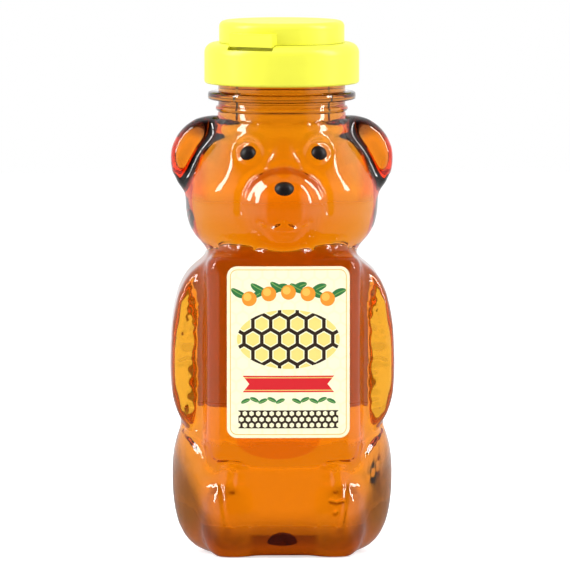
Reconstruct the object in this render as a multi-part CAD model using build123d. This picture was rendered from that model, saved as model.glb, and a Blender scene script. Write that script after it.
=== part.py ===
from build123d import *
import math
import os

# Sizes are in millimetres. The bottle stands on z = 0 with its axis on Z, and the bear faces -Y.

# Bottle wall
wall = 0.8
wall_overrun = 2.0

# Seat block, the low part of the body between the legs
seat_width = 43.0
seat_setback = 1.0
seat_height = 40.0
seat_corner = 12.0
seat_edge = 7.0
pushup_radius = 10.5
pushup_height = 5.5

# Torso block, whose raised front and back faces carry the labels
torso_bottom_z = 25.6
torso_height = 58.0
torso_width = 43.2
torso_depth = 49.0
torso_crown = 1.4
torso_corner = 4.5
torso_edge = 3.0

# Legs, feet and arms: one of each is modelled on the +X side and mirrored
leg_radius = 17.6
leg_axis_x = 13.0
leg_forward = 3.0
leg_wide_z = 22.0
leg_rise = 19.0
leg_drop = 23.0
foot_radius = 9.0
foot_axis_x = 13.8
foot_forward = 16.0
foot_wide_z = 11.0
foot_rise = 11.0
foot_drop = 12.0
arm_radius = 17.1
arm_axis_x = 14.0
arm_forward = 1.0
arm_wide_z = 52.0
arm_rise = 30.5
arm_drop = 20.0
arm_half_depth = 12.5
arm_edge = 5.0
limb_fullness_share = 0.75

# Head, a round form that sinks a little into the torso and carries the neck
head_sink = 3.6
head_radius = 24.2
head_drop = 17.0
head_rise = 24.0
crown_radius = 19.0
crown_swell = 10.0
cheek_radius = 23.6
cheek_axis_x = 3.2
cheek_rise = 22.0
cheek_drop = 15.5
cheek_fullness_share = 0.7

# Snout, eyes and nose, placed from the widest level of the cheeks
snout_radius = 11.7
snout_forward = 16.9
snout_above_cheeks = 0.5
snout_rise = 10.6
snout_drop = 13.5
eye_radius = 2.3
eye_axis_x = 9.6
eye_above_cheeks = 14.5
eye_forward = 17.8
nose_radius = 2.9
nose_rise = 2.2
nose_above_cheeks = 5.2
nose_stand = 1.3
feature_fullness_share = 0.58
ink = 0.12

# Ears, flattened lobes that are dished at the front
ear_radius = 12.2
ear_axis_x = 18.9
ear_above_cheeks = 12.3
ear_half_depth = 5.8
ear_dish_radius = 7.6
ear_dish_axis_x = 22.4
ear_dish_depth = 1.5

# Neck and its 38 mm screw finish, with the helix of its thread
neck_radius = 17.65
neck_wall = 1.6
bead_radius = 18.4
bead_height = 1.4
bead_gap = 1.6
ring_radius = 20.5
ring_height = 2.2
ring_gap = 4.7
finish_height = 11.1
thread_pitch = 4.233
thread_depth = 1.0
thread_root_width = 2.2
thread_crest_width = 1.0
thread_turns = 1.4
thread_gap = 3.4
thread_root_sink = 0.6

# Honey and the two paper labels
honey_gap = 0.1
honey_below_rim = 6.5
label_thickness = 0.15
label_width = 33.9
label_height = 47.5
label_top_gap = 2.6
label_side_shift = 1.2
label_corner = 2.8
back_label_width = 33.9
back_label_height = 42.0

# Closure: sealing liner, screw cap with spout, and flip lid on a film hinge
liner_thickness = 1.0
liner_clearance = 0.3
thread_clearance = 0.35
cap_crest_clearance = 0.3
cap_thread_crest_width = 0.8
cap_thread_root_width = 1.6
cap_thread_turns = 1.1
cap_thread_play = 0.25
cap_wall = 2.5
cap_deck = 1.5
cap_gap_above_ring = 2.3
cap_shoulder = 2.8
cap_hem = 0.8
spout_radius = 4.7
spout_height = 3.6
orifice_radius = 3.2
lid_radius = 17.4
lid_wall = 1.2
lid_height = 6.0
lid_edge = 1.6
lid_gap = 0.1
plug_clearance = 0.3
plug_wall = 0.9
plug_engagement = 0.8
tab_width = 13.0
tab_reach = 1.9
tab_height = 3.6
tab_drop = 0.5
scoop_clearance = 0.5
scoop_depth = 1.4
hinge_width = 12.0
hinge_reach = 2.9
hinge_lip = 1.3
film_thickness = 0.4
film_height = 2.0
film_width = 10.0
cap_turn_angle = -28.0

# Levels and radii that follow from the sizes above
seat_depth = torso_depth - 2 * seat_setback
torso_top_z = torso_bottom_z + torso_height
head_bottom_z = torso_top_z - head_sink
cheek_z = head_bottom_z + head_drop
head_top_z = cheek_z + head_rise
bead_z = head_top_z + bead_gap
ring_z = head_top_z + ring_gap
ring_top_z = ring_z + ring_height
rim_z = ring_top_z + finish_height
thread_z = ring_top_z + thread_gap
bore_radius = neck_radius - neck_wall
thread_radius = neck_radius + thread_depth
cap_root_radius = thread_radius + thread_clearance
cap_crest_radius = neck_radius + cap_crest_clearance
cap_radius = cap_root_radius + cap_wall
cap_bottom_z = ring_top_z + cap_gap_above_ring
deck_underside_z = rim_z + liner_thickness
deck_z = deck_underside_z + cap_deck
lid_bottom_z = deck_z + lid_gap
lid_top_z = lid_bottom_z + lid_height
lid_cavity_top_z = lid_top_z - lid_wall
hinge_radius = lid_radius + hinge_reach


def half_egg_outline(radius, rise, drop, fullness_share):
    """The outline of one half of an egg, widest at z = 0, with a pole above and a pole below."""
    full = fullness_share
    with BuildSketch(Plane.XZ) as half:
        with BuildLine():
            Bezier((0, -drop), (full * radius, -drop), (radius, -full * drop), (radius, 0))
            Bezier((radius, 0), (radius, full * rise), (full * radius, rise), (0, rise))
            Line((0, rise), (0, -drop))
        make_face()
    return half.sketch


def egg(radius, rise, drop, fullness_share):
    """A round solid about Z with an egg's outline."""
    return revolve(half_egg_outline(radius, rise, drop, fullness_share), axis=Axis.Z)


def both_sides(solid):
    """A solid on the +X side and its mirror image on the -X side."""
    return [solid, mirror(solid, about=Plane.YZ)]


def disc(radius, bottom_z, top_z):
    """A plain round slab or post about the Z axis."""
    slab = Cylinder(radius, top_z - bottom_z, align=(Align.CENTER, Align.CENTER, Align.MIN))
    return Pos(0, 0, bottom_z) * slab


def fuse_all(solids):
    """All the solids as one, added in turn."""
    whole = solids[0]
    for solid in solids[1:]:
        whole = whole + solid
    return whole


def thread(radius, tip_radius, root_width, crest_width, start_z, start_turn, turns):
    """A helical rib of trapezoid section, from its root radius to its tip radius."""
    height = thread_pitch * turns
    path = Helix(pitch=thread_pitch, height=height, radius=radius)
    section_plane = Plane(origin=path @ 0, z_dir=path % 0, x_dir=(1, 0, 0))
    reach = tip_radius - radius
    sink = math.copysign(thread_root_sink, -reach)
    corners = [
        (sink, -root_width / 2),
        (reach, -crest_width / 2),
        (reach, crest_width / 2),
        (sink, root_width / 2),
    ]
    section = section_plane * Polygon(*corners, align=None)
    rib = sweep(section, path=path, is_frenet=True)
    return Pos(0, 0, start_z) * Rot(0, 0, 360 * start_turn) * rib


def torso_outline(inset):
    """Plan of the torso: straight sides, with a gently crowned front and back."""
    half_width = torso_width / 2
    crown_arc = (half_width ** 2 + torso_crown ** 2) / (2 * torso_crown)
    side = half_width - inset
    face_y = torso_depth / 2 - inset
    edge_y = torso_depth / 2 - crown_arc + math.sqrt((crown_arc - inset) ** 2 - side ** 2)
    with BuildSketch() as plan:
        with BuildLine():
            ThreePointArc((-side, -edge_y), (0, -face_y), (side, -edge_y))
            Line((side, -edge_y), (side, edge_y))
            ThreePointArc((side, edge_y), (0, face_y), (-side, edge_y))
            Line((-side, edge_y), (-side, -edge_y))
        make_face()
        fillet(plan.vertices(), torso_corner - inset)
    return plan.sketch


def torso_form(inset):
    """The block with the label panels, its top and bottom edges rounded."""
    height = torso_height - 2 * inset
    block = Pos(0, 0, torso_bottom_z + inset) * extrude(torso_outline(inset), height)
    rims = block.faces().sort_by(Axis.Z)
    edges = rims[0].edges() + rims[-1].edges()
    return fillet(edges, torso_edge - inset)


def seat_form(inset):
    """The rounded block that the bottle stands on."""
    plan = RectangleRounded(seat_width - 2 * inset, seat_depth - 2 * inset, seat_corner - inset)
    block = extrude(plan, seat_height - 2 * inset)
    base_edges = block.faces().sort_by(Axis.Z)[0].edges()
    return Pos(0, 0, inset) * fillet(base_edges, seat_edge - inset)


def limb(radius, axis_x, forward, wide_z, rise, drop, inset):
    """One swelling limb beside the body, smaller all round by the inset."""
    lobe = egg(radius - inset, rise - inset, drop - inset, limb_fullness_share)
    return Pos(axis_x, -forward, wide_z) * lobe


def arm_form(inset):
    """One arm: an upright pad with a flat front and back and an egg's outline."""
    half = half_egg_outline(
        arm_radius - inset, arm_rise - inset, arm_drop - inset, limb_fullness_share
    )
    half_pad = extrude(half, arm_half_depth - inset, both=True)
    pad = half_pad + mirror(half_pad, about=Plane.YZ)
    faces = pad.faces().sort_by(Axis.Y)
    pad = fillet(faces[0].edges() + faces[-1].edges(), arm_edge - inset)
    return Pos(arm_axis_x, -arm_forward, arm_wide_z) * pad


def head_form(inset):
    """The head: round at the chin and drawn in to the crown under the neck."""
    chin = cheek_fullness_share
    radius = head_radius - inset
    drop = head_drop - inset
    crown = crown_radius - inset
    top = head_rise - inset
    with BuildSketch(Plane.XZ) as half:
        with BuildLine():
            Bezier((0, -drop), (chin * radius, -drop), (radius, -chin * drop), (radius, 0))
            Bezier((radius, 0), (radius, crown_swell), (crown, top - crown_swell), (crown, top))
            Line((crown, top), (0, top))
            Line((0, top), (0, -drop))
        make_face()
    return Pos(0, 0, cheek_z) * revolve(half.sketch, axis=Axis.Z)


def cheek_form(inset):
    """One cheek, which fills out the side of the head."""
    lobe = egg(cheek_radius - inset, cheek_rise - inset, cheek_drop - inset, cheek_fullness_share)
    return Pos(cheek_axis_x, 0, cheek_z) * lobe


def snout_form(inset):
    """The domed muzzle on the front of the head."""
    rise = snout_rise - inset
    dome = egg(snout_radius - inset, rise, snout_drop - inset, feature_fullness_share)
    return Pos(0, -snout_forward, cheek_z + snout_above_cheeks) * dome


def ear_form(inset):
    """An ear lobe beside the head, a flat round pad that is dished on its front."""
    half_depth = ear_half_depth - inset
    lobe = Rot(90, 0, 0) * egg(ear_radius - inset, half_depth, half_depth, limb_fullness_share)
    dish_depth = ear_dish_depth + inset
    dish_radius = ear_dish_radius + inset
    dish = Rot(90, 0, 0) * egg(dish_radius, dish_depth, dish_depth, feature_fullness_share)
    ear_z = cheek_z + ear_above_cheeks
    return Pos(ear_axis_x, 0, ear_z) * lobe - Pos(ear_dish_axis_x, -ear_half_depth, ear_z) * dish


def eye_bead(inset):
    """The small raised bead of one eye, whose centre lies just behind the skin of the cheek."""
    bead = Sphere(eye_radius - inset)
    return Pos(eye_axis_x, -eye_forward, cheek_z + eye_above_cheeks) * bead


def nose_bead(inset):
    """The small raised nose on the upper front of the snout."""
    radius = nose_radius - inset
    bead = egg(radius, nose_rise - inset, nose_rise - inset, feature_fullness_share)
    lift = (nose_above_cheeks - snout_above_cheeks) / snout_rise
    skin_y = snout_forward + snout_radius * math.sqrt(1 - lift ** 2)
    return Pos(0, -skin_y - nose_stand + radius, cheek_z + nose_above_cheeks) * bead


def pushup(inset):
    """The shallow dome that is pressed up into the base."""
    sphere_radius = (pushup_radius ** 2 + pushup_height ** 2) / (2 * pushup_height)
    return Pos(0, 0, pushup_height - sphere_radius) * Sphere(sphere_radius + inset)


def bear_form(inset, top_z, column_radius):
    """The whole bear as one solid, smaller all round by the inset, with a column up the neck."""
    limbs = [
        arm_form(inset),
        limb(leg_radius, leg_axis_x, leg_forward, leg_wide_z, leg_rise, leg_drop, inset),
        limb(foot_radius, foot_axis_x, foot_forward, foot_wide_z, foot_rise, foot_drop, inset),
    ]
    forms = [torso_form(inset), seat_form(inset)]
    for form in limbs:
        forms += both_sides(form)
    forms.append(head_form(inset))
    for form in [cheek_form(inset), ear_form(inset)]:
        forms += both_sides(form)
    forms.append(snout_form(inset))
    forms.append(disc(column_radius, cheek_z, top_z))
    below = disc(body_reach(), -body_reach(), inset)
    return fuse_all(forms) - below - pushup(inset)


def body_reach():
    """A radius that takes in the whole body."""
    return torso_width + leg_radius + arm_radius


def make_bottle_skin():
    """The outside of the bottle: bear, face beads, neck rings and thread, still filled in."""
    skin = bear_form(0, rim_z, neck_radius)
    eyes = both_sides(eye_bead(0))
    rings = [
        disc(bead_radius, bead_z, bead_z + bead_height),
        disc(ring_radius, ring_z, ring_top_z),
    ]
    screw = thread(
        neck_radius, thread_radius, thread_root_width, thread_crest_width, thread_z, 0, thread_turns
    )
    return fuse_all([skin, *eyes, nose_bead(0), *rings, screw])


def make_bottle(skin):
    """The bottle: its skin less the hollow, open at the rim."""
    hollow = bear_form(wall, rim_z + wall_overrun, bore_radius)
    return skin - hollow


def make_honey():
    """The honey, which fills the hollow up into the neck."""
    gap = wall + honey_gap
    return bear_form(gap, rim_z - honey_below_rim, bore_radius - honey_gap)


def make_label(skin, width, height, top_z, side_x, facing):
    """A paper label on a crowned panel, cut from a layer that lies on the skin."""
    layer = torso_form(-label_thickness)
    outline = RectangleRounded(width, height, label_corner)
    patch = extrude(Plane.XZ * outline, torso_depth)
    front = Pos(side_x, -facing * torso_depth / 2, top_z - height / 2)
    window = front * Pos(0, torso_depth / 2, 0) * patch
    return (layer & window) - skin


def make_liner():
    """The foam disc that seals the mouth."""
    return disc(cap_root_radius - liner_clearance, rim_z, deck_underside_z)


def cap_shell():
    """Outside of the screw cap: a short drum with a rounded shoulder and hem."""
    drum = disc(cap_radius, cap_bottom_z, deck_z)
    drum = fillet(drum.edges().group_by(Axis.Z)[-1], cap_shoulder)
    return fillet(drum.edges().group_by(Axis.Z)[0], cap_hem)


def make_cap_base():
    """The screw cap: skirt with its thread, deck, spout, hinge ledge and thumb scoop."""
    cap = cap_shell() - disc(cap_root_radius, cap_bottom_z - wall_overrun, deck_underside_z)
    ledge_depth = cap_shoulder
    ledge = Box(hinge_width, hinge_radius, ledge_depth, align=(Align.CENTER, Align.MIN, Align.MAX))
    ledge = Pos(0, 0, deck_z) * ledge
    ledge -= disc(cap_root_radius, cap_bottom_z, deck_z)
    spout = disc(spout_radius, deck_underside_z, deck_z + spout_height)
    spout = fillet(spout.edges().group_by(Axis.Z)[-1], (spout_radius - orifice_radius) / 3)
    orifice = disc(orifice_radius, rim_z, deck_z + spout_height + wall_overrun)
    scoop_width = tab_width + 2 * scoop_clearance
    scoop = Box(scoop_width, cap_radius, cap_shoulder, align=(Align.CENTER, Align.MAX, Align.MIN))
    scoop = Pos(0, -lid_radius + scoop_clearance, deck_z - scoop_depth) * scoop
    notch_width = hinge_width + 2 * lid_gap
    notch = Box(notch_width, cap_radius, 2 * cap_shoulder, align=(Align.CENTER, Align.MIN, Align.CENTER))
    notch = Pos(0, hinge_radius, deck_z) * notch
    screw = cap_thread()
    return fuse_all([cap, ledge, spout, screw]) - scoop - notch - orifice


def cap_thread():
    """The cap's own thread, which runs in the groove under the neck's thread."""
    drop = thread_pitch / 2 - thread_clearance + cap_thread_play / 2
    first_z = cap_bottom_z + cap_thread_root_width / 2
    turn = (first_z + drop - thread_z) / thread_pitch
    return thread(
        cap_root_radius,
        cap_crest_radius,
        cap_thread_root_width,
        cap_thread_crest_width,
        first_z,
        turn,
        cap_thread_turns,
    )


def make_flip_lid():
    """The lid: a shallow cup with a thumb tab, a hinge tongue and the plug for the spout."""
    cup = disc(lid_radius, lid_bottom_z, lid_top_z)
    cup = fillet(cup.edges().group_by(Axis.Z)[-1], lid_edge)
    rearward = (Align.CENTER, Align.MIN, Align.MIN)
    tab_root = Box(tab_width, lid_wall + tab_reach, tab_height - tab_drop, align=rearward)
    tab_root = Pos(0, -lid_radius - tab_reach, lid_bottom_z) * tab_root
    tab_lip = Box(tab_width, tab_reach, tab_height, align=rearward)
    tab_lip = Pos(0, -lid_radius - tab_reach, lid_bottom_z - tab_drop) * tab_lip
    tongue = Pos(0, 0, lid_bottom_z) * Box(hinge_width, hinge_radius, hinge_lip, align=rearward)
    hollow = disc(lid_radius - lid_wall, lid_bottom_z - tab_height, lid_cavity_top_z)
    plug_radius = orifice_radius - plug_clearance
    plug_bottom_z = deck_z + spout_height - plug_engagement
    plug = disc(plug_radius, plug_bottom_z, lid_top_z - lid_wall / 2)
    plug -= disc(plug_radius - plug_wall, plug_bottom_z - wall_overrun, lid_cavity_top_z)
    return fuse_all([cup, tab_root, tab_lip, tongue]) - hollow + plug


def make_living_hinge():
    """The thin film that joins the ledge of the cap to the tongue of the lid."""
    film = Box(film_width, film_thickness, film_height)
    return Pos(0, hinge_radius + film_thickness / 2, deck_z) * film


def turned(piece):
    """A piece of the closure, turned with the cap to the way it is screwed on."""
    return Rot(0, 0, cap_turn_angle) * piece


skin = make_bottle_skin()
ink_eye = eye_bead(-ink) - skin
label_top_z = torso_top_z - label_top_gap
pieces = {
    "bottle": make_bottle(skin),
    "honey": make_honey(),
    "left_eye": ink_eye,
    "right_eye": mirror(ink_eye, about=Plane.YZ),
    "nose": nose_bead(-ink) - skin,
    "front_label": make_label(skin, label_width, label_height, label_top_z, label_side_shift, 1),
    "back_label": make_label(skin, back_label_width, back_label_height, label_top_z, 0, -1),
    "liner": make_liner(),
    "cap_base": turned(make_cap_base()),
    "living_hinge": turned(make_living_hinge()),
    "flip_lid": turned(make_flip_lid()),
}

os.makedirs("parts", exist_ok=True)
for name, piece in pieces.items():
    export_step(piece, f"parts/{name}.step")
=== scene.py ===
import math

import bpy
import numpy as np
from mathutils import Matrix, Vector
from mathutils.bvhtree import BVHTree


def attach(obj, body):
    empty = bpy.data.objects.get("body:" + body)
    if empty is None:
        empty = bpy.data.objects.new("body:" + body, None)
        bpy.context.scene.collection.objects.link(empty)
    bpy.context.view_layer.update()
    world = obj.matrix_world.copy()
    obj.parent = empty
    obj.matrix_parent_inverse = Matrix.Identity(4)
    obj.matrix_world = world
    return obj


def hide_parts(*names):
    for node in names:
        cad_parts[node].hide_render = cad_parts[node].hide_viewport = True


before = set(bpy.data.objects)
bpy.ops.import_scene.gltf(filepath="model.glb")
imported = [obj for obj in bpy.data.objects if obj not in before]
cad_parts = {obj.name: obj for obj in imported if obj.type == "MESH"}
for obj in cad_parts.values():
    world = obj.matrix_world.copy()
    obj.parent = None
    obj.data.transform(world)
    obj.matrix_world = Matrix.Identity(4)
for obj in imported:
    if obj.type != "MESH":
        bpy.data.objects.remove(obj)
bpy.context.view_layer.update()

# Bear skin. The bottle is blow-moulded in one piece from clear PET: a sitting bear with ears,
# muzzle, arms, legs and feet, and flat raised panels front and back for the labels. Each limb is
# a swelling lobe, and the mould blends them where they meet.
MM = 0.001
WALL, LEAST_WALL = 0.8, 0.3
SKIN_VOXEL, HOLLOW_VOXEL, SOFTEN_STEPS = 1.6, 1.5, 3
FULL, ROUND = 0.75, 0.5523
TORSO_HALF, TORSO_Z, TORSO_CROWN, TORSO_CORNER, TORSO_RIM = (21.6, 24.5), (25.6, 83.6), 1.4, 4.5, 3
SEAT_HALF, SEAT_TOP, SEAT_CORNER, SEAT_RIM = (21.5, 23.5), 40.0, 12, 7
CHEEK_Z = 97.0
HEAD_RADIUS, HEAD_RISE, HEAD_DROP, HEAD_FULLNESS = 24.2, 24, 17, 0.7
CROWN_RADIUS, CROWN_HANDLES = 19, (10, 14)
SNOUT_RADIUS, SNOUT_RISE, SNOUT_DROP, SNOUT_FULLNESS = 11.7, 10.6, 13.5, 0.58
SNOUT_PLACE = (0, -16.9, 97.5)
EAR_RADIUS, EAR_HALF_DEPTH, EAR_X, EAR_Z = 12.2, 5.8, 18.9, 109.3
EAR_DISH_X, EAR_DISH_DEPTH, EAR_DISH_REACH = 22.4, 2.0, 8.6
ARM_RADIUS, ARM_RISE, ARM_DROP, ARM_PLACE = 17.1, 30.5, 20.0, (14.0, -1.0, 52.0)
ARM_HALF_DEPTH, ARM_RIM = 12.5, 2.2
# Of each limb: the radius, the place across, the place forward, the widest level, the rise above
# it, the drop below it, and the fullness.
THIGH = (17.6, 13.0, 3.0, 22.0, 19.0, 23.0, FULL)
FOOT = (9.0, 13.8, 16.0, 11.0, 11.0, 12.0, FULL)
CHEEK = (23.6, 3.2, 0.0, CHEEK_Z, 22.0, 15.5, HEAD_FULLNESS)
PUSHUP_RADIUS, PUSHUP_MIDDLE_Z, PUSHUP_REACH = 12.77, -7.27, 14
PANEL_HALF, PANEL_Z, PANEL_CATCH, PANEL_PROUD = 18.4, (29.5, 79.6), 0.3, 0.03
THROAT_RADIUS, THROAT_Z = 17.6, 115
NECKLINE_Z = 84
# The face, the arms, the legs and the feet have fine forms: from where to where across, how far
# forward at least, and from which height to which.
FINE_PLACES = (((-1, 14.0), -14, (90, 118)), ((21, 29.5), -9, (39, 78)),
               ((18.5, 29.5), -4, (14, 37)), ((10.5, 19.5), -18, (10, 27.5)))


def only(obj):
    """Makes one object the selected and active one."""
    bpy.ops.object.select_all(action="DESELECT")
    obj.select_set(True)
    bpy.context.view_layer.objects.active = obj
    return obj


def points_of(obj):
    """The mesh's points in millimetres."""
    co = np.empty(len(obj.data.vertices) * 3)
    obj.data.vertices.foreach_get("co", co)
    return co.reshape(-1, 3) / MM


def move_points(obj, co):
    """Puts the mesh's points at these places, given in millimetres."""
    obj.data.vertices.foreach_set("co", (co * MM).ravel())
    obj.data.update()


def modify(obj, kind, **settings):
    """Adds one modifier and applies it."""
    only(obj)
    modifier = obj.modifiers.new(kind.title(), kind)
    for name, value in settings.items():
        setattr(modifier, name, value)
    bpy.ops.object.modifier_apply(modifier=modifier.name)
    return obj


def apply_place(obj):
    """Moves an object's place, turn and size into its mesh."""
    only(obj)
    bpy.ops.object.transform_apply(location=True, rotation=True, scale=True)
    return obj


def joined(objs):
    """Several meshes as one object, the first."""
    only(objs[0])
    for obj in objs[1:]:
        obj.select_set(True)
    bpy.ops.object.join()
    return objs[0]


def lobe(radius, rise, drop, fullness, place, facing_front=False):
    """A round lobe that swells to its widest level, more full than an ellipsoid."""
    bpy.ops.mesh.primitive_uv_sphere_add(segments=72, ring_count=48, radius=MM)
    obj = bpy.context.object
    co = points_of(obj)
    level = np.arcsin(np.clip(co[:, 2], -1, 1)) / (math.pi / 2)
    t = np.abs(level)
    reach = radius * ((1 - t) ** 3 + 3 * t * (1 - t) ** 2 + 3 * fullness * t ** 2 * (1 - t))
    lift = 3 * fullness * t * (1 - t) ** 2 + 3 * t ** 2 * (1 - t) + t ** 3
    flat = np.maximum(np.hypot(co[:, 0], co[:, 1]), 1e-9)
    across = co[:, :2] / flat[:, None] * np.where(t < 1 - 1e-6, reach, 0)[:, None]
    up = np.where(level > 0, rise, -drop) * lift
    co = np.column_stack([across, up])
    if facing_front:
        co = np.column_stack([co[:, 0], -co[:, 2], co[:, 1]])
    move_points(obj, co + np.array(place))
    return obj


def pad(radius, rise, drop, fullness, place, half_depth, edge):
    """A flat-fronted lobe: the same outline, as deep all over, with rounded rims."""
    bpy.ops.mesh.primitive_circle_add(vertices=96, radius=MM, fill_type="NGON")
    obj = bpy.context.object
    co = points_of(obj)
    level = np.arctan2(co[:, 1], np.abs(co[:, 0])) / (math.pi / 2)
    t = np.abs(level)
    reach = radius * ((1 - t) ** 3 + 3 * t * (1 - t) ** 2 + 3 * fullness * t ** 2 * (1 - t))
    lift = 3 * fullness * t * (1 - t) ** 2 + 3 * t ** 2 * (1 - t) + t ** 3
    up = np.where(level > 0, rise, -drop) * lift
    move_points(obj, np.column_stack([np.sign(co[:, 0]) * reach, 0 * t - half_depth, up]))
    bpy.ops.object.mode_set(mode="EDIT")
    bpy.ops.mesh.select_all(action="SELECT")
    bpy.ops.mesh.extrude_region_move(
        TRANSFORM_OT_translate={"value": (0, 2 * half_depth * MM, 0)})
    bpy.ops.mesh.select_all(action="SELECT")
    bpy.ops.mesh.normals_make_consistent(inside=False)
    bpy.ops.object.mode_set(mode="OBJECT")
    modify(obj, "BEVEL", width=edge * MM, segments=8, limit_method="ANGLE",
           angle_limit=math.radians(60))
    move_points(obj, points_of(obj) + np.array(place))
    return obj


def both_sides(make):
    """A lobe on the bear's left and its mirror image on the right."""
    return [make(1), make(-1)]


def rounded_block(half, levels, corner, rim, crown):
    """A block with rounded upright corners and rims, its front and back crowned."""
    bpy.ops.mesh.primitive_cube_add(size=2)
    obj = bpy.context.object
    obj.scale = (half[0] * MM, half[1] * MM, (levels[1] - levels[0]) / 2 * MM)
    obj.location = (0, 0, (levels[1] + levels[0]) / 2 * MM)
    apply_place(obj)
    bpy.ops.object.mode_set(mode="EDIT")
    bpy.ops.mesh.select_mode(type="EDGE")
    bpy.ops.mesh.select_all(action="DESELECT")
    bpy.ops.object.mode_set(mode="OBJECT")
    co = points_of(obj)
    for edge in obj.data.edges:
        a, b = (co[i] for i in edge.vertices)
        edge.select = abs(a[2] - b[2]) > 1
    bpy.ops.object.mode_set(mode="EDIT")
    bpy.ops.mesh.bevel(offset=corner * MM, segments=10)
    bpy.ops.mesh.select_all(action="DESELECT")
    bpy.ops.object.mode_set(mode="OBJECT")
    co = points_of(obj)
    for edge in obj.data.edges:
        a, b = (co[i] for i in edge.vertices)
        edge.select = abs(a[2] - b[2]) < 0.01
    bpy.ops.object.mode_set(mode="EDIT")
    bpy.ops.mesh.bevel(offset=rim * MM, segments=8)
    bpy.ops.object.mode_set(mode="OBJECT")
    for i in range(1, 24):
        bpy.ops.object.mode_set(mode="EDIT")
        bpy.ops.mesh.select_all(action="SELECT")
        place = (-half[0] + 2 * half[0] * i / 24) * MM
        bpy.ops.mesh.bisect(plane_co=(place, 0, 0), plane_no=(1, 0, 0))
        bpy.ops.object.mode_set(mode="OBJECT")
    co = points_of(obj)
    share = np.abs(co[:, 1]) / half[1]
    co[:, 1] -= np.sign(co[:, 1]) * crown * (co[:, 0] / half[0]) ** 2 * share
    move_points(obj, co)
    return obj


def head(inset):
    """The head: round at the chin and drawn in to the crown under the neck."""
    obj = lobe(HEAD_RADIUS - inset, HEAD_RISE - inset, HEAD_DROP - inset, HEAD_FULLNESS,
               (0, 0, CHEEK_Z))
    co = points_of(obj)
    t = np.clip((co[:, 2] - CHEEK_Z) / (HEAD_RISE - inset), 0, 1)
    steps = np.linspace(0, 1, 200)
    low, high = CROWN_HANDLES
    heights = 3 * low * steps * (1 - steps) ** 2 + 3 * (high - inset) * steps ** 2 * (1 - steps)
    heights += (HEAD_RISE - inset) * steps ** 3
    radii = (HEAD_RADIUS - inset) * ((1 - steps) ** 3 + 3 * steps * (1 - steps) ** 2)
    radii += (CROWN_RADIUS - inset) * (3 * steps ** 2 * (1 - steps) + steps ** 3)
    full = np.interp(t * (HEAD_RISE - inset), heights, radii)
    from_axis = np.maximum(np.hypot(co[:, 0], co[:, 1]), 1e-9)
    beside_pole = from_axis > 3
    wide = np.where((co[:, 2] > CHEEK_Z) & beside_pole, full / from_axis, 1)
    move_points(obj, co * np.column_stack([wide, wide, np.ones(len(co))]))
    return obj


def bear_lobes(inset):
    """Every form of the bear, smaller all round by the inset, as one mesh of closed lobes."""
    def limb(radius, x, forward, wide_z, rise, drop, fullness):
        return both_sides(lambda side: lobe(
            radius - inset, rise - inset, drop - inset, fullness, (side * x, -forward, wide_z)))

    def arm(side):
        return pad(ARM_RADIUS - inset, ARM_RISE - inset, ARM_DROP - inset, FULL,
                   (side * ARM_PLACE[0], ARM_PLACE[1], ARM_PLACE[2]),
                   ARM_HALF_DEPTH - inset, ARM_RIM - inset)

    def ear(side):
        return lobe(EAR_RADIUS - inset, EAR_HALF_DEPTH - inset, EAR_HALF_DEPTH - inset, FULL,
                    (side * EAR_X, 0, EAR_Z), facing_front=True)

    torso = rounded_block(
        (TORSO_HALF[0] - inset, TORSO_HALF[1] - inset), (TORSO_Z[0] + inset, TORSO_Z[1] - inset),
        TORSO_CORNER - inset, TORSO_RIM - inset, TORSO_CROWN)
    seat = rounded_block(
        (SEAT_HALF[0] - inset, SEAT_HALF[1] - inset), (inset, SEAT_TOP - inset),
        SEAT_CORNER - inset, SEAT_RIM - inset, 0)
    forms = [torso, seat, head(inset)]
    forms += both_sides(arm) + limb(*THIGH) + limb(*FOOT) + limb(*CHEEK) + both_sides(ear)
    forms.append(lobe(SNOUT_RADIUS - inset, SNOUT_RISE - inset, SNOUT_DROP - inset,
                      SNOUT_FULLNESS, SNOUT_PLACE))
    return joined(forms)


def bump(distance, width):
    """1 at no distance, falling smoothly to 0 at the width."""
    return np.clip(1 - (distance / width) ** 2, 0, None) ** 2


def off_line(x, z, points):
    """How far each place of the front view lies from a line through these points."""
    nearest = np.full(len(x), 1e6)
    for (x0, z0), (x1, z1) in zip(points, points[1:]):
        run = np.array([x1 - x0, z1 - z0])
        share = np.clip(((x - x0) * run[0] + (z - z0) * run[1]) / (run @ run), 0, 1)
        nearest = np.minimum(nearest, np.hypot(x - x0 - share * run[0], z - z0 - share * run[1]))
    return nearest


def refine(obj, places):
    """Halves the front's faces at these places, so that fine forms can be pressed in."""
    centres = np.empty(len(obj.data.polygons) * 3)
    facing = np.empty(len(obj.data.polygons) * 3)
    obj.data.polygons.foreach_get("center", centres)
    obj.data.polygons.foreach_get("normal", facing)
    centres, facing = centres.reshape(-1, 3) / MM, facing.reshape(-1, 3)
    x, y, z = np.abs(centres[:, 0]), centres[:, 1], centres[:, 2]
    chosen = np.zeros(len(x), dtype=bool)
    for (inner_x, outer_x), least_forward, (low_z, high_z) in places:
        across = (x > inner_x) & (x < outer_x)
        chosen |= across & (y < least_forward) & (z > low_z) & (z < high_z)
    only(obj)
    bpy.ops.object.mode_set(mode="EDIT")
    bpy.ops.mesh.select_mode(type="FACE")
    bpy.ops.mesh.select_all(action="DESELECT")
    bpy.ops.object.mode_set(mode="OBJECT")
    obj.data.polygons.foreach_set("select", chosen & (facing[:, 1] < -0.25))
    bpy.ops.object.mode_set(mode="EDIT")
    bpy.ops.mesh.subdivide(number_cuts=1, smoothness=1.0)
    bpy.ops.mesh.select_mode(type="VERT")
    bpy.ops.object.mode_set(mode="OBJECT")


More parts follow.
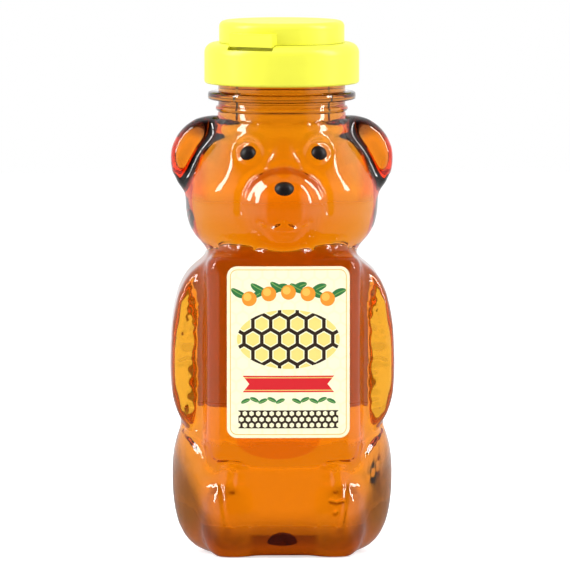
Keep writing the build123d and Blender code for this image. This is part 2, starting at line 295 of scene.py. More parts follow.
def carve(obj):
    """Presses the bear's face, fur, hands and toes into the front of the skin."""
    co = points_of(obj)
    normals = np.empty(len(co) * 3)
    obj.data.vertices.foreach_get("normal", normals)
    normals = normals.reshape(-1, 3)
    x, z = np.abs(co[:, 0]), co[:, 2]

    def line(height, width, *points):
        return height * bump(off_line(x, z, points), width)

    def spot(height, width, at_x, at_z):
        return height * bump(np.hypot(x - at_x, z - at_z), width)

    eye_ring = -0.35 * np.exp(-((np.hypot(x - 9.8, z - 111.8) - 3.3) / 0.8) ** 2)
    brow = line(0.3, 1.9, (5.2, 113.6), (7.2, 115.9), (9.8, 116.8), (12.4, 115.8))
    bridge = line(0.7, 3.2, (0, 108.2), (0, 113.5))
    eye_corner = line(0.5, 1.3, (6.4, 107.2), (3.7, 112.0))
    muzzle = line(0.5, 1.5, (12.4, 96), (12.1, 101), (10.2, 105.0), (6.4, 107.8), (0, 109.0))
    mouth = line(0.55, 0.95, (0, 94.2), (1.5, 93.4), (3.2, 92.4), (5.0, 92.4), (7.2, 93.4))
    lip = line(0.4, 1.3, (0, 91.6), (2.6, 91.8))
    chin = line(0.3, 1.9, (0, 85.6), (9, 86.2), (16.5, 88.2))
    face = eye_ring + brow + bridge - eye_corner - muzzle - mouth + lip - chin

    limbs = spot(0.4, 3.2, 26.4, 59.4)
    for k in range(7):
        fur_x, fur_z = 22.9 + 0.5 * k, 76.6 - 2.3 * k
        limbs += line(0.24, 1.2, (fur_x - 1.3, fur_z + 1.6), (fur_x + 1.3, fur_z - 1.2))
    for finger_x, finger_z, width in (
            (25.0, 51.6, 2.1), (24.7, 48.0, 2.0), (25.2, 44.2, 2.1), (25.8, 41.0, 1.8)):
        limbs += spot(0.3, width, finger_x, finger_z)
    limbs -= line(0.2, 1.2, (28.4, 53.4), (26.4, 54.2), (24.0, 53.6))
    for k in range(6):
        fur_x, fur_z = 28.0 - 1.45 * k, 33.4 - 1.7 * k
        limbs += line(0.07, 1.2, (fur_x, fur_z), (fur_x - 0.5, fur_z - 3.4),
                      (fur_x - 0.9, fur_z - 7.2))
    limbs -= line(0.26, 1.7, (28.2, 36.2), (23.6, 31.0), (19.8, 25.6))

    foot = spot(0.4, 2.8, 15.8, 22.4) + spot(0.3, 2.2, 12.2, 21.6)
    foot -= line(0.42, 1.3, (18.0, 25.6), (15.0, 26.6), (12.0, 25.8))
    foot -= line(0.24, 1.3, (14.0, 23.6), (14.2, 19.0))
    foot -= line(0.25, 1.0, (17.4, 20.3), (16.8, 14.0), (15.7, 8.1))
    one_foot = 0.35 * bump(off_line(co[:, 0], z, ((12.8, 16.1), (14.4, 15.6), (16.2, 16.0))), 0.8)
    one_foot += 0.3 * bump(np.hypot(co[:, 0] - 14.2, z - 12.8), 1.0)
    panel_corner = line(0.3, 1.2, (21.2, 31.0), (20.2, 27.4), (17.0, 26.1), (11.0, 25.9))

    lift = np.where(z > NECKLINE_Z, face, 0) * (x < 18.5) + limbs * (x > 17.5) * (z < NECKLINE_Z)
    lift += (foot - one_foot) * (x < 20) * (z < 27.5) * (co[:, 1] < -14)
    lift -= panel_corner * (co[:, 1] < -20)
    facing_front = np.clip(-normals[:, 1] * 2.5, 0, 1)
    move_points(obj, co + normals * (lift * facing_front)[:, None])


def mould(obj, inset, voxel):
    """Fuses the lobes into one smooth skin that stands flat, with the push-up in its base."""
    modify(obj, "REMESH", mode="VOXEL", voxel_size=voxel * MM, adaptivity=0)
    modify(obj, "SMOOTH", factor=0.5, iterations=SOFTEN_STEPS)
    if inset == 0:
        modify(obj, "SUBSURF", levels=1, render_levels=1)
        refine(obj, FINE_PLACES)
    co = points_of(obj)
    low = co[:, 2] < 6
    co[:, 2] = np.maximum(co[:, 2], inset)
    from_axis = np.hypot(co[:, 0], co[:, 1])
    dome = PUSHUP_MIDDLE_Z + np.sqrt(np.maximum((PUSHUP_RADIUS + inset) ** 2 - from_axis ** 2, 0))
    over = low & (from_axis < PUSHUP_REACH)
    co[:, 2] = np.where(over, np.maximum(co[:, 2], dome), co[:, 2])
    dish = np.hypot(np.abs(co[:, 0]) - EAR_DISH_X, co[:, 2] - EAR_Z)
    front = np.clip(-co[:, 1] / 2, 0, 1)
    dip = EAR_DISH_DEPTH * bump(dish, EAR_DISH_REACH + inset)
    co[:, 1] += dip * front * (np.abs(co[:, 0]) > 12)
    panel = TORSO_HALF[1] - inset - TORSO_CROWN * (co[:, 0] / TORSO_HALF[0]) ** 2
    flat = (np.abs(co[:, 0]) < PANEL_HALF) & (co[:, 2] > PANEL_Z[0]) & (co[:, 2] < PANEL_Z[1])
    flat &= np.abs(np.abs(co[:, 1]) - panel) < PANEL_CATCH
    co[:, 1] = np.where(flat, np.sign(co[:, 1]) * (panel + PANEL_PROUD), co[:, 1])
    from_axis = np.hypot(co[:, 0], co[:, 1])
    throat = (co[:, 2] > THROAT_Z) & (inset > 0) & (from_axis < 20)
    draw = np.where(throat, np.minimum(1, THROAT_RADIUS / np.maximum(from_axis, 1)), 1)
    co[:, :2] *= draw[:, None]
    move_points(obj, co)
    carve(obj)
    return obj


def keep_wall(hollow, skin, least):
    """Draws the hollow in wherever it would leave less than the least wall."""
    outside = BVHTree.FromObject(skin, bpy.context.evaluated_depsgraph_get())
    walls = points_of(hollow)
    for i, point in enumerate(walls):
        surface, normal = outside.find_nearest(Vector(point) * MM)[:2]
        depth = (surface - Vector(point) * MM).dot(normal) / MM
        if depth < least:
            walls[i] -= np.array(normal) * (least - depth)
    move_points(hollow, walls)


skin = mould(bear_lobes(0), 0, SKIN_VOXEL)
hollow = mould(bear_lobes(WALL), WALL, HOLLOW_VOXEL)
keep_wall(hollow, skin, LEAST_WALL)
skin.name = "bear_bottle"

# Neck. It is moulded with the bear, to the standard 38 mm screw finish: a bead and a support ring
# at its foot, and one and a half turns of thread below the rim.
NECK_RADIUS, BORE_RADIUS = 17.65, 16.05
THREAD_TIP, THREAD_WIDTHS, THREAD_Z, THREAD_TURNS, PITCH = 18.65, (2.2, 1.0), 131.3, 1.4, 4.233
EYE_BEAD_RADIUS, EYE_BEAD_PLACE = 2.28, (9.6, -17.8, 111.5)
NOSE_BEAD_RADIUS, NOSE_BEAD_HALF_HEIGHT, NOSE_BEAD_PLACE = 2.88, 2.18, (0, -25.79, 102.2)
HONEY_TOP = 132.5
ON_WALL = 0.25
NECK_PROFILE = [
    (0, 112), (17.5, 112), (18.6, 119.5), (17.9, 120.8), (17.65, 122.4), (17.75, 122.6),
    (18.2, 122.75), (18.4, 123.3), (18.2, 123.85), (17.75, 124), (17.65, 124.3),
    (17.65, 125.5), (20.0, 125.7), (20.4, 125.95), (20.5, 126.4), (20.5, 127.2), (20.4, 127.65),
    (20.0, 127.9), (17.85, 127.9), (17.65, 128.1), (17.65, 138.6), (17.25, 139), (0, 139),
]


def turned_piece(name, profile, steps=128):
    """A solid turned about the upright axis from its profile, which starts and ends on the axis."""
    bpy.ops.object.select_all(action="DESELECT")
    bpy.ops.mesh.primitive_plane_add(size=1)
    obj = bpy.context.object
    obj.name = name
    bpy.ops.object.mode_set(mode="EDIT")
    bpy.ops.mesh.delete(type="VERT")
    bpy.ops.object.mode_set(mode="OBJECT")
    points = [(r * MM, 0, z * MM) for r, z in profile]
    obj.data.from_pydata(points, [(i, i + 1) for i in range(len(points) - 1)], [])
    bpy.ops.object.mode_set(mode="EDIT")
    bpy.ops.mesh.select_all(action="SELECT")
    if steps:
        bpy.ops.mesh.spin(steps=steps, angle=2 * math.pi, center=(0, 0, 0), axis=(0, 0, 1))
    bpy.ops.mesh.select_all(action="SELECT")
    bpy.ops.mesh.remove_doubles(threshold=0.00001)
    bpy.ops.mesh.normals_make_consistent(inside=False)
    bpy.ops.object.mode_set(mode="OBJECT")
    return obj


def shade_smooth(obj):
    """Smooth shading, apart from the sharp edges."""
    only(obj)
    bpy.ops.object.shade_smooth_by_angle(angle=math.radians(35))


def combine(obj, other, how):
    """Joins or cuts two closed meshes, and removes the second."""
    modify(obj, "BOOLEAN", operation=how, solver="MANIFOLD", object=other)
    bpy.data.objects.remove(other)
    return obj


def screw_rib(name, radius, tip, widths, low_z, turns):
    """A helical rib of trapezoid section, closed at its ends."""
    root, crest = widths
    section = turned_piece(name, [
        (radius - 0.4, low_z - root / 2), (tip, low_z - crest / 2), (tip, low_z + crest / 2),
        (radius - 0.4, low_z + root / 2), (radius - 0.4, low_z - root / 2)], steps=0)
    modify(section, "SCREW", angle=2 * math.pi * turns, screw_offset=PITCH * turns * MM,
           steps=round(96 * turns), axis="Z", use_merge_vertices=False)
    bpy.ops.object.mode_set(mode="EDIT")
    bpy.ops.mesh.select_all(action="SELECT")
    bpy.ops.mesh.remove_doubles(threshold=0.00001)
    bpy.ops.mesh.fill_holes(sides=4)
    bpy.ops.mesh.normals_make_consistent(inside=False)
    bpy.ops.object.mode_set(mode="OBJECT")
    return section


neck = turned_piece("neck", NECK_PROFILE)
combine(skin, neck, "UNION")
thread = screw_rib("thread", NECK_RADIUS, THREAD_TIP, THREAD_WIDTHS, THREAD_Z, THREAD_TURNS)
combine(skin, thread, "UNION")
for bead in both_sides(lambda side: lobe(
        EYE_BEAD_RADIUS, EYE_BEAD_RADIUS, EYE_BEAD_RADIUS, ROUND,
        (side * EYE_BEAD_PLACE[0], EYE_BEAD_PLACE[1], EYE_BEAD_PLACE[2]))):
    combine(skin, bead, "UNION")
nose_bead = lobe(NOSE_BEAD_RADIUS, NOSE_BEAD_HALF_HEIGHT, NOSE_BEAD_HALF_HEIGHT, SNOUT_FULLNESS,
                 NOSE_BEAD_PLACE)
combine(skin, nose_bead, "UNION")
bore = turned_piece("bore", [(0, 100), (BORE_RADIUS, 100), (BORE_RADIUS, 145), (0, 145)])
cavity = hollow.copy()
cavity.data = hollow.data.copy()
bpy.context.scene.collection.objects.link(cavity)
combine(cavity, bore, "UNION")
inner = BVHTree.FromObject(cavity, bpy.context.evaluated_depsgraph_get())
combine(skin, cavity, "DIFFERENCE")
wetted = [f.index for f in skin.data.polygons
          if f.center.z < HONEY_TOP * MM
          and inner.find_nearest(f.center, ON_WALL * MM)[0] is not None]
shade_smooth(skin)


class Socket:
    """One output of a node, with arithmetic that adds Math nodes."""

    def __init__(self, tree, link):
        self.tree, self.link = tree, link

    def math(self, operation, other=None, first=False):
        node = self.tree.nodes.new("ShaderNodeMath")
        node.operation = operation
        ends = [other, self] if first else [self, other]
        for i, end in enumerate(e for e in ends if e is not None):
            if isinstance(end, Socket):
                self.tree.links.new(end.link, node.inputs[i])
            else:
                node.inputs[i].default_value = end
        return Socket(self.tree, node.outputs[0])

    def __add__(self, other):
        return self.math("ADD", other)

    def __mul__(self, other):
        return self.math("MULTIPLY", other)

    def __sub__(self, other):
        return self.math("SUBTRACT", other)

    def __rsub__(self, other):
        return self.math("SUBTRACT", other, first=True)

    def __truediv__(self, other):
        return self.math("DIVIDE", other)

    def __mod__(self, other):
        return self.math("FLOORED_MODULO", other)

    def __gt__(self, other):
        return self.math("GREATER_THAN", other)

    def __lt__(self, other):
        return self.math("LESS_THAN", other)

    def __and__(self, other):
        return self.math("MINIMUM", other)

    def __or__(self, other):
        return self.math("MAXIMUM", other)

    def __abs__(self):
        return self.math("ABSOLUTE")

    __radd__, __rmul__ = __add__, __mul__


class Finish:
    """One material, with its shader and a method that adds any node."""

    def __init__(self, name, **constants):
        self.material = bpy.data.materials.new(name)
        self.material.use_nodes = True
        self.tree = self.material.node_tree
        self.shader = self.tree.nodes["Principled BSDF"]
        for socket, value in constants.items():
            self.shader.inputs[socket.replace("_", " ")].default_value = value

    def node(self, kind, settings=None, **sockets):
        node = self.tree.nodes.new("ShaderNode" + kind)
        for name, value in (settings or {}).items():
            setattr(node, name, value)
        for name, value in sockets.items():
            socket = node.inputs[int(name[1:]) if name[1:].isdigit() else name.replace("_", " ")]
            if isinstance(value, Socket):
                self.tree.links.new(value.link, socket)
            else:
                socket.default_value = value
        return node

    def out(self, kind, settings=None, output=0, **sockets):
        return Socket(self.tree, self.node(kind, settings, **sockets).outputs[output])

    def feed(self, socket, value):
        self.tree.links.new(value.link, self.shader.inputs[socket])

    def onto(self, obj):
        obj.data.materials.clear()
        obj.data.materials.append(self.material)

    def place(self):
        """Where a point of the surface lies, in millimetres."""
        axes = self.node("SeparateXYZ", Vector=self.out("TexCoord", output="Object"))
        return [Socket(self.tree, axes.outputs[i]) * 1000.0 for i in range(3)]

    def noise(self, scale, detail=2.0):
        return self.out("TexNoise", Vector=self.out("TexCoord", output="Object"),
                        Scale=scale, Detail=detail)

    def fade(self, value, low, high):
        """0 below the low value and 1 above the high one, smooth between them."""
        return self.out("MapRange", {"interpolation_type": "SMOOTHSTEP"}, Value=value,
                        From_Min=low, From_Max=high)

    def wane(self, value, low, high):
        """1 below the low value and 0 above the high one, smooth between them."""
        return self.fade(0 - value, -high, -low)

    def paint(self, under, colour, mask):
        """The colour over what is under it, where the mask is 1."""
        def ink_of(end):
            return end if isinstance(end, Socket) else (*end, 1)
        return self.out("Mix", {"data_type": "RGBA"}, output=2, i0=mask,
                        i6=ink_of(under), i7=ink_of(colour))


pet = Finish("clear_pet", Roughness=0.03, IOR=1.5, Transmission_Weight=1.0)
pet.feed("Normal", pet.out("Bump", Height=pet.noise(70.0), Strength=0.10, Distance=0.0008))
pet.feed("Roughness", pet.noise(25.0, 3.0) * 0.05 + 0.01)
pet.onto(skin)

# Where honey wets the wall, no light is bent, so that face of the wall does not show.
wet_face = Finish("wetted_pet", Roughness=0.0, IOR=1.0, Transmission_Weight=1.0, Alpha=0.0)
wet_face.feed("Base Color", wet_face.paint((1, 1, 1), (0.96, 0.96, 0.95), wet_face.noise(40.0)))
skin.data.materials.append(wet_face.material)
for index in wetted:
    skin.data.polygons[index].material_index = 1
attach(skin, "bottle")
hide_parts("bottle")

# Honey. It fills the hollow up into the neck and wets the wall, so its surface lies a hair inside
# the plastic, and light goes from one into the other with no air between them.
COLUMN_RADIUS = 16.1
INTO_WALL = 0.05
# Colours of the painted shade and the painted glow that are laid on the honey's colour.
HEAD_SHADE, LABEL_SHADE, HEEL_SHADE = (0.93, 0.86, 0.6), (0.90, 0.52, 0.4), (0.13, 0.05, 0.16)
EAR_PAINTED_GLOW, EAR_SHADE, NECK_SHADE = (0.86, 0.30, 0.04), (0.34, 0.13, 0.10), (0.66, 0.49, 0.36)
LEG_SHADE, BASE_SHADE, PUSHUP_SHADE = (0.11, 0.09, 0.16), (0.20, 0.10, 0.22), (0.20, 0.07, 0.16)
SNOUT_SHADE, ARM_SHADE = (0.50, 0.26, 0.22), (0.84, 0.74, 1.0)
hollow.name = "honey_fill"
normals = np.empty(len(hollow.data.vertices) * 3)
hollow.data.vertices.foreach_get("normal", normals)
move_points(hollow, points_of(hollow) + INTO_WALL * normals.reshape(-1, 3))
column = turned_piece(
    "column", [(0, 100), (COLUMN_RADIUS, 100), (COLUMN_RADIUS, HONEY_TOP), (0, HONEY_TOP)])
combine(hollow, column, "UNION")
shade_smooth(hollow)
amber = Finish("honey", Roughness=0.0, IOR=1.0, Transmission_Weight=1.0)
fade, wane = amber.fade, amber.wane
x, y, z = amber.place()
side = abs(x)
radial = (x * x + y * y).math("SQRT")
in_front = 0 - y
# Thin lobes look as deep a colour as the thick head, because light runs along them: the ears glow
# orange, and the sides of the legs and the base are brown. Here that glow and that brown are
# painted into the honey's colour as painted glow and painted shade, along with painted shade on the
# head, the ear rims, the neck, the push-up, over the nose, on the arms, under the label and at the
# heels.
painted_shade_and_glow = amber.paint((1, 1, 1), HEAD_SHADE, fade(z, 98.0, 114.0))
ear = fade(z, 97.0, 101.0) & wane(z, 121.0, 122.5)
# Painted glow: the ears are made a deeper orange.
painted_shade_and_glow = amber.paint(painted_shade_and_glow, EAR_PAINTED_GLOW, fade(side, 19.0, 23.0) & ear)
painted_shade_and_glow = amber.paint(
    painted_shade_and_glow, EAR_SHADE, fade(side, 18.5, 20.5) & ear & fade(z - side * 0.35, 106.0, 109.5))
painted_shade_and_glow = amber.paint(painted_shade_and_glow, NECK_SHADE, fade(z, 117.5, 121.0) & wane(radial, 17.0, 18.0))
painted_shade_and_glow = amber.paint(
    painted_shade_and_glow, LEG_SHADE, fade(side + (18 - z) * 0.45, 20.0, 26.0) & wane(z, 32.0, 40.0))
painted_shade_and_glow = amber.paint(painted_shade_and_glow, BASE_SHADE, wane(z, 3.0, 11.0))
painted_shade_and_glow = amber.paint(painted_shade_and_glow, PUSHUP_SHADE, wane(radial, 12.5, 14.5) & wane(z, 6.8, 7.5))
arch = ((x * x) / 148.0 + (z - 97.5) * (z - 97.5) / 119.0).math("SQRT")
over_nose = fade(arch, 0.74, 0.84) & wane(arch, 0.93, 0.99) & fade(z, 100.0, 103.0)
painted_shade_and_glow = amber.paint(painted_shade_and_glow, SNOUT_SHADE, over_nose & fade(in_front, 19.0, 21.0))
arm = fade(side, 21.5, 23.0) & fade(z, 36.0, 40.0) & wane(z, 74.0, 82.0)
painted_shade_and_glow = amber.paint(painted_shade_and_glow, ARM_SHADE, arm & fade(in_front, 4.0, 8.0))
under_label = (x + 1.6) * (x + 1.6) / 132.0 + (z - 33.0) * (z - 33.0) / 29.0
painted_shade_and_glow = amber.paint(
    painted_shade_and_glow, LABEL_SHADE, wane(under_label, 0.9, 1.12) & fade(in_front, 20.0, 22.0))
heel = wane(side, 8.0, 10.5) & wane(z, 5.9, 6.9)
painted_shade_and_glow = amber.paint(painted_shade_and_glow, HEEL_SHADE, heel & fade(in_front, 8.0, 12.0))
amber.feed("Base Color", painted_shade_and_glow)
amber_depth = amber.node("VolumeAbsorption", Color=(0.973, 0.769, 0.0, 1), Density=150.0)
amber.tree.links.new(amber_depth.outputs[0], amber.tree.nodes["Material Output"].inputs["Volume"])
amber.onto(hollow)
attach(hollow, "bottle")
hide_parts("honey")

# Eyes and nose. Each is a raised bead of the bottle, printed over with black ink that has a soft
# sheen. The ink lies on the bead as a thin shell.
ink = Finish("black_ink", Specular_IOR_Level=0.25)
ink.feed("Base Color", ink.paint((0.006, 0.005, 0.005), (0.016, 0.010, 0.009), ink.noise(900.0)))
ink.feed("Roughness", ink.noise(2500.0) * 0.12 + 0.3)
for name in ("left_eye", "right_eye", "nose"):
    ink.onto(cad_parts[name])

# Front label. Coated paper with rounded corners, glued to the crowned panel and printed with
# fruit, leaves, a honeycomb, a plain ribbon and a row of small cells.
LABEL_HALF, LABEL_MIDDLE, LABEL_CORNER = (16.95, 23.75), (1.2, 57.25), 2.8
LABEL_Y, LABEL_CROWN = 24.57, 0.003
EDGE_LINE_INSET, FAINT_CELL = 0.95, 3.6
FRUIT_RADIUS, FRUIT_STEP, FRUIT_V, FRUIT_SAG = 2.05, 5.4, 16.6, 0.45
COMB_PLACE, COMB_HALF, COMB_CELL = (0, 3.6), (14.2, 8.2), 4.9
RIBBON_V, RIBBON_HALF, RIBBON_LINE = -8.8, (10.8, 2.3), 1.75
SPRIG_V, SPRIG_STEP = -13.6, 2.4
STRIP_V, STRIP_HALF, STRIP_CELL = -18.6, (13.8, 2.5), 1.85
CREAM, GOLD, DARK = (0.98, 0.93, 0.65), (0.80, 0.55, 0.16), (0.035, 0.018, 0.008)
ORANGE, PEEL_LIGHT, COMB_GOLD = (0.90, 0.30, 0.02), (1.0, 0.58, 0.10), (0.96, 0.72, 0.20)
LEAF, LEAF_RIB, RED = (0.03, 0.19, 0.05), (0.20, 0.42, 0.10), (0.68, 0.012, 0.02)
BARE_PAPER = (0.80, 0.76, 0.62)


def within(u, v, at, reach):
    """1 inside an ellipse."""
    across, up = (u - at[0]) / reach[0], (v - at[1]) / reach[1]
    return across * across + up * up < 1.0


def cells(u, v, size):
    """How near a place is to the walls of a honeycomb: 0.5 on a wall, 0 at a cell's middle."""
    def from_middle(shift):
        across = abs((u / size + shift) % 1.0 - 0.5)
        up = abs((v / size / math.sqrt(3) + shift) % 1.0 - 0.5) * math.sqrt(3)
        return across | (across * 0.5 + up * (math.sqrt(3) / 2))
    return from_middle(0.0) & from_middle(0.5)


def leaf(finish, under, u, v, at, turn, reach):
    """A green leaf with a pale rib."""
    c, s = math.cos(math.radians(turn)), math.sin(math.radians(turn))
    along = (u - at[0]) * c + (v - at[1]) * s
    across = (v - at[1]) * c - (u - at[0]) * s
    inside = within(along, across + along * along * 0.05, (0, 0.15), reach)
    under = finish.paint(under, LEAF, inside)
    return finish.paint(under, LEAF_RIB, inside & (abs(across + along * along * 0.05) < 0.11))


def label_ground(finish, u, v, half):
    """Cream paper with a faint honeycomb and a thin gold line inside its edge."""
    faint = cells(u, v, FAINT_CELL)
    ground = finish.paint(CREAM, (0.95, 0.87, 0.50), finish.fade(faint, 0.36, 0.47) * 0.45)
    ground = finish.paint(ground, (0.98, 0.88, 0.50), finish.noise(260.0, 3.0) * 0.25)
    corner_u = (abs(u) - (half[0] - LABEL_CORNER)) | 0.0
    corner_v = (abs(v) - (half[1] - LABEL_CORNER)) | 0.0
    reach = (corner_u * corner_u + corner_v * corner_v).math("SQRT")
    off_edge_line = abs(reach - (LABEL_CORNER - EDGE_LINE_INSET))
    return finish.paint(ground, GOLD, off_edge_line < 0.13)


paper = Finish("label_paper", Specular_IOR_Level=0.4)
x, y, z = paper.place()
u, v = x - LABEL_MIDDLE[0], z - LABEL_MIDDLE[1]
design = label_ground(paper, u, v, LABEL_HALF)
fruits = [(FRUIT_STEP * k, FRUIT_V - FRUIT_SAG * k * k) for k in range(-2, 3)]
for at_u, at_v in fruits:
    for turn, aside in ((28, 2.9), (152, -2.9)):
        design = leaf(paper, design, u, v, (at_u + aside, at_v + 1.5), turn, (2.4, 0.95))
for at_u, at_v in fruits:
    design = paper.paint(design, ORANGE, within(u, v, (at_u, at_v), (FRUIT_RADIUS, FRUIT_RADIUS)))
    peel_light = within(u, v, (at_u - 0.5, at_v + 0.5), (1.1, 1.1))
    design = paper.paint(design, PEEL_LIGHT, peel_light * 0.75)
comb = cells(u, v - COMB_PLACE[1], COMB_CELL)
patch = within(u, v, COMB_PLACE, COMB_HALF)
design = paper.paint(design, COMB_GOLD, patch & (comb < 0.34))
design = paper.paint(design, DARK, patch & (comb > 0.40))
off_ribbon = abs(v - RIBBON_V)
ribbon = (off_ribbon < RIBBON_HALF[1]) & (abs(u) - off_ribbon * 0.8 < RIBBON_HALF[0])
design = paper.paint(design, RED, ribbon)
design = paper.paint(design, GOLD, ribbon & (abs(off_ribbon - RIBBON_LINE) < 0.14))
for k in range(5):
    for way in (1, -1):
        sprig = (way * (2.2 + SPRIG_STEP * k), SPRIG_V + 0.35 * (k % 2))
        design = leaf(paper, design, u, v, sprig, way * (24 if k % 2 else -24), (1.35, 0.55))
strip = (abs(v - STRIP_V) < STRIP_HALF[1]) & (abs(u) < STRIP_HALF[0])
design = paper.paint(design, DARK, strip & (cells(u, v - STRIP_V, STRIP_CELL) > 0.33))
glued = y - x * x * LABEL_CROWN > -LABEL_Y
paper.feed("Base Color", paper.paint(design, BARE_PAPER, glued))
paper.feed("Roughness", paper.noise(500.0) * 0.1 + 0.33)
paper.feed("Normal", paper.out("Bump", Height=paper.noise(900.0, 4.0), Strength=0.08,
                               Distance=0.0001))
paper.onto(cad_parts["front_label"])

# Back label. Coated paper on the panel at the back, with the same ground as the front label and
# no print. It is thin enough that the light from behind shows through it, and that light is painted
# as a glow on its face against the bottle.
BACK_HALF, BACK_MIDDLE = (16.95, 21.0), (0, 60.0)
PAINTED_GLOW_THROUGH_PAPER = (0.12, 0.21, 0.2)
back_paper = Finish("back_label_paper", Specular_IOR_Level=0.4, Emission_Strength=1.0)
x, y, z = back_paper.place()
ground = label_ground(back_paper, x - BACK_MIDDLE[0], z - BACK_MIDDLE[1], BACK_HALF)
back_paper.feed("Base Color", ground)
back_paper.feed("Roughness", back_paper.noise(500.0) * 0.1 + 0.4)
glued = y + x * x * LABEL_CROWN < LABEL_Y
# A painted glow on the face against the bottle, for the light that shows through the paper.
back_paper.feed("Emission Color", back_paper.paint((0, 0, 0), PAINTED_GLOW_THROUGH_PAPER, glued))
back_paper.onto(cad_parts["back_label"])

# Closure. Cap, film hinge and lid are moulded in one piece from bright yellow polypropylene, and
# the cap is screwed onto the neck. The hinge is a thin film that bends.
YELLOW, DULL_YELLOW = (0.80, 0.80, 0.055), (0.77, 0.755, 0.05)
yellow = Finish("yellow_cap")
yellow.feed("Base Color", yellow.paint(YELLOW, DULL_YELLOW, yellow.noise(120.0, 3.0)))
yellow.feed("Roughness", yellow.noise(700.0, 3.0) * 0.16 + 0.28)
yellow.feed("Normal", yellow.out("Bump", Height=yellow.noise(1500.0, 3.0), Strength=0.12,
                                 Distance=0.00005))
for name in ("cap_base", "living_hinge", "flip_lid"):
    yellow.onto(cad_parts[name])

# Liner. A disc of white foam that is pressed into the cap. It seals the mouth of the bottle when
# the cap is screwed down on it.
foam = Finish("liner_foam")
foam.feed("Base Color", foam.paint((0.93, 0.93, 0.90), (0.84, 0.84, 0.80), foam.noise(1800.0)))
foam.feed("Roughness", foam.noise(1200.0) * 0.15 + 0.7)
foam.onto(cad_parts["liner"])

# Studio. A pale floor that runs on behind, a dark room in front, white walls at the sides, soft
# lights, and the camera at the photograph's viewing angle. Seen through the bottle, the table
# carries a painted shadow that is darkest near the bottle and fades farther off, and the room is a
# little brighter than white.
FLOOR_SIZE, FLOOR_DROP = 3.0, 0.0002
FRONT_GLOSS, SIDE_GLOSS, BACK_GLOSS = 0.02, 0.8, 0.9
SIDE_START, BACK_START = (0.62, 0.85), (-0.2, 0.3)
FLOOR_LEVEL, THROUGH_LEVEL = 0.62, 1.27
LAMP_AIM = (0, 0, 0.08)
AIM, DISTANCE, VIEW_WIDTH, SENSOR_WIDTH = (0.0009, 0, 0.0739), 3.0, 0.1585, 36
AZIMUTH, ELEVATION = -1.5, 4.6
bpy.ops.object.select_all(action="DESELECT")
bpy.ops.mesh.primitive_plane_add(size=FLOOR_SIZE)
floor = bpy.context.object
floor.name = "floor"
floor.location.z = -FLOOR_DROP
apply_place(floor)


def seen_by(tree):
    """1 for rays that look straight, 1 for those through something clear, 1 for mirrored ones."""
    path = tree.nodes.new("ShaderNodeLightPath")
    return [Socket(tree, path.outputs["Is %s Ray" % kind])
            for kind in ("Camera", "Transmission", "Glossy")]


sweep = Finish("floor", Roughness=0.9, Specular_IOR_Level=0.1)
fade = sweep.fade
direct, through, mirrored = seen_by(sweep.tree)
x, y = sweep.place()[:2]
near = (x * x + y * y).math("SQRT")
# Seen through the bottle, the table glows with a painted shadow: dark near the bottle, brightening
# farther off.
table_with_painted_shadow = fade(near, 18.0, 75.0) * 0.18 + fade(near, 130.0, 700.0) * 0.56 + 0.06
toward_side, toward_back = abs(x) / (near + 1.0), y / (near + 1.0)
# Seen only in reflections, the floor is dark in colour and has a painted glow toward the sides and
# back, where the white walls stand.
below_walls = (fade(toward_side, *SIDE_START) * SIDE_GLOSS
               | fade(toward_back, *BACK_START) * BACK_GLOSS)
# Near the bottle that glow is dimmed by painted shade.
below_walls = below_walls * (fade(near, 60.0, 500.0) * 0.6 + 0.4)
only_mirrored = (1 - (direct | through)) * mirrored
glow = direct * FLOOR_LEVEL + (1 - direct) * through * table_with_painted_shadow + only_mirrored * below_walls
sweep.feed("Base Color", sweep.paint((0.8, 0.8, 0.8), (0.06, 0.06, 0.06), only_mirrored))
light = sweep.node("Emission", Color=(1, 1, 1, 1), Strength=glow)
both = sweep.node("AddShader")
sweep.tree.links.new(sweep.shader.outputs[0], both.inputs[0])
sweep.tree.links.new(light.outputs[0], both.inputs[1])
sweep.tree.links.new(both.outputs[0], sweep.tree.nodes["Material Output"].inputs["Surface"])
sweep.onto(floor)

world = bpy.data.worlds.new("studio")
bpy.context.scene.world = world
world.use_nodes = True
sky = world.node_tree
fill = sky.nodes["Background"]
fill.inputs["Color"].default_value = (1, 1, 1, 1)
fill.inputs["Strength"].default_value = 0.5
white = sky.nodes.new("ShaderNodeBackground")
white.inputs["Color"].default_value = (1, 1, 1, 1)
direct, through, mirrored = seen_by(sky)
plain = direct | through
way = sky.nodes.new("ShaderNodeTexCoord")
axes = sky.nodes.new("ShaderNodeSeparateXYZ")
sky.links.new(way.outputs["Generated"], axes.inputs[0])


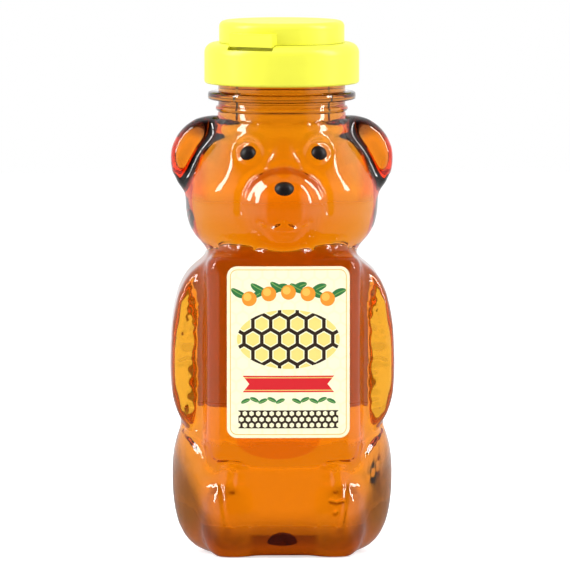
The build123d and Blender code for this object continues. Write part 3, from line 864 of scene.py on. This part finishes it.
def ramp(value, low, high):
    """0 below the low value and 1 above the high one."""
    return ((value - low) / (high - low) & 1.0) | 0.0


sideways, rearward = abs(Socket(sky, axes.outputs[0])), Socket(sky, axes.outputs[1])
walls = ramp(sideways, *SIDE_START) * SIDE_GLOSS | ramp(rearward, *BACK_START) * BACK_GLOSS
level = direct + (1 - direct) * through * THROUGH_LEVEL + (1 - plain) * (walls | FRONT_GLOSS)
sky.links.new(level.link, white.inputs["Strength"])
blend = sky.nodes.new("ShaderNodeMixShader")
sky.links.new((plain | mirrored).link, blend.inputs["Fac"])
sky.links.new(fill.outputs[0], blend.inputs[1])
sky.links.new(white.outputs[0], blend.inputs[2])
sky.links.new(blend.outputs[0], sky.nodes["World Output"].inputs["Surface"])


def softbox(name, place, size, power):
    """A rectangular soft light that points at the object and is not seen through it."""
    data = bpy.data.lights.new(name, "AREA")
    data.shape, data.size, data.size_y, data.energy = "RECTANGLE", size[0], size[1], power
    lamp = bpy.data.objects.new(name, data)
    bpy.context.scene.collection.objects.link(lamp)
    lamp.location = place
    lamp.rotation_euler = (Vector(LAMP_AIM) - Vector(place)).to_track_quat("-Z", "Y").to_euler()
    lamp.visible_transmission = False
    return lamp


softbox("left_box", (-0.8, -0.16, 0.55), (0.16, 0.8), 7)
softbox("right_box", (0.8, -0.16, 0.55), (0.14, 0.8), 6)
softbox("top_box", (0, -0.5, 0.95), (0.8, 0.5), 5).visible_glossy = False

camera = bpy.data.cameras.new("camera")
viewer = bpy.data.objects.new("camera", camera)
bpy.context.scene.collection.objects.link(viewer)
azimuth, elevation = math.radians(AZIMUTH), math.radians(ELEVATION)
back = Vector((math.sin(azimuth) * math.cos(elevation),
               -math.cos(azimuth) * math.cos(elevation), math.sin(elevation)))
viewer.location = Vector(AIM) + DISTANCE * back
viewer.rotation_euler = (-back).to_track_quat("-Z", "Y").to_euler()
camera.sensor_width = SENSOR_WIDTH
camera.lens = SENSOR_WIDTH * DISTANCE / VIEW_WIDTH
bpy.context.scene.camera = viewer
bpy.context.scene.view_settings.view_transform = "Standard"
